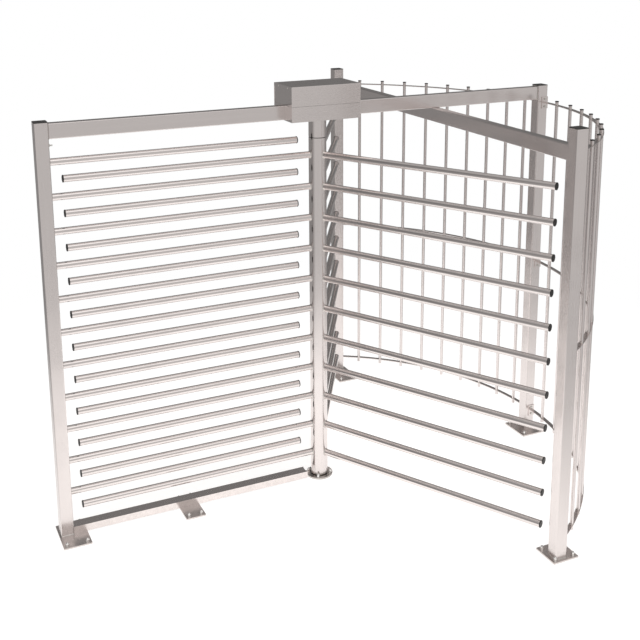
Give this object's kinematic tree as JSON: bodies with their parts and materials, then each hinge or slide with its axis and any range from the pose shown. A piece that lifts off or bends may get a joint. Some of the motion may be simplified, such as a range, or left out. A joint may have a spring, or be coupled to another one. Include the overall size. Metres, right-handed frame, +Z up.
{
  "type": "full-height visitor turnstile",
  "caption": "Full-height turnstile: a three-wing rotor of horizontal arms turning between a welded post frame, a fixed comb and a round rod cage, with a head box on top.",
  "frame": {"origin": "on the rotor axis at floor level, at the centre of the floor flange's underside", "axes": "+Z up along the rotor axis, +X along the main beam from the comb post to the cage post, entry side at -Y"},
  "size_m": [3.1485, 2.7585, 2.404],
  "materials": {
    "brushed_stainless": "satin",
    "tube_stainless": "satin polished",
    "plate_stainless": "satin",
    "black_cap": "moulded satin",
    "zinc_fastener": "zinc plated",
    "machined_steel": "machined",
    "bearing_steel": "ground",
    "cast_housing": "painted casting",
    "bronze": "machined bronze",
    "grey_nylon": "moulded"
  },
  "bodies": {
    "frame": {"left_post": "brushed_stainless", "right_post": "brushed_stainless", "front_post": "brushed_stainless", "back_post": "brushed_stainless", "main_beam": "brushed_stainless", "cross_beam": "brushed_stainless", "head_base": "brushed_stainless", "head_cover": "brushed_stainless", "head_end_panels": "brushed_stainless", "comb_arms": "tube_stainless", "column_sleeve": "tube_stainless", "front_cage_rods": "tube_stainless", "back_cage_rods": "tube_stainless", "left_base_plate": "plate_stainless", "right_base_plate": "plate_stainless", "front_base_plate": "plate_stainless", "back_base_plate": "plate_stainless", "mid_foot_plate": "plate_stainless", "bottom_rail": "plate_stainless", "floor_flange": "plate_stainless", "front_cage_rings": "plate_stainless", "back_cage_rings": "plate_stainless", "cage_brackets": "plate_stainless", "post_caps": "black_cap", "comb_arm_caps": "black_cap", "front_cage_rod_caps": "black_cap", "back_cage_rod_caps": "black_cap", "cage_bolts": "zinc_fastener", "head_screws": "zinc_fastener", "housing_bolts": "zinc_fastener", "earth_stud": "zinc_fastener", "bed_plate": "machined_steel", "lever_pivot": "machined_steel", "bearing_outer_race": "bearing_steel", "lever_spring": "bearing_steel", "bearing_housing": "cast_housing", "thrust_washer": "bronze", "pulse_sensor": "grey_nylon", "counter_pedestal": "grey_nylon"},
    "rotor": {"rotor_column": "tube_stainless", "rotor_shaft": "machined_steel", "foot_hub": "machined_steel", "foot_bush": "bronze", "left_wing_arms": "tube_stainless", "front_wing_arms": "tube_stainless", "back_wing_arms": "tube_stainless", "left_wing_caps": "black_cap", "front_wing_caps": "black_cap", "back_wing_caps": "black_cap", "bearing_inner_race": "bearing_steel", "bearing_balls": "bearing_steel", "drive_gear": "machined_steel", "index_cam": "machined_steel", "shaft_nut": "zinc_fastener"},
    "counter": {"counter_pinion": "machined_steel", "encoder_disc": "machined_steel"},
    "index_arm": {"index_lever": "machined_steel"},
    "index_wheel": {"index_roller": "grey_nylon"}
  },
  "joints": [
    {"name": "rotor_spin", "type": "hinge", "parent": "frame", "child": "rotor", "pos_m": [0, 0, 0], "axis": [0, 0, 1], "continuous": true},
    {"name": "counter_spin", "type": "hinge", "parent": "frame", "child": "counter", "pos_m": [0.08, 0, 2.3], "axis": [0, 0, 1], "continuous": true},
    {"name": "index_arm_lift", "type": "hinge", "parent": "frame", "child": "index_arm", "pos_m": [-0.0826, -0.062, 2.36], "axis": [0, 0, 1], "range_deg": [0, 7]},
    {"name": "index_wheel_spin", "type": "hinge", "parent": "index_arm", "child": "index_wheel", "pos_m": [-0.0826, 0, 2.35], "axis": [0, 0, 1], "continuous": true}
  ],
  "couplings": [
    {"joint": "counter_spin", "follows": "rotor_spin", "ratio": -3}
  ]
}
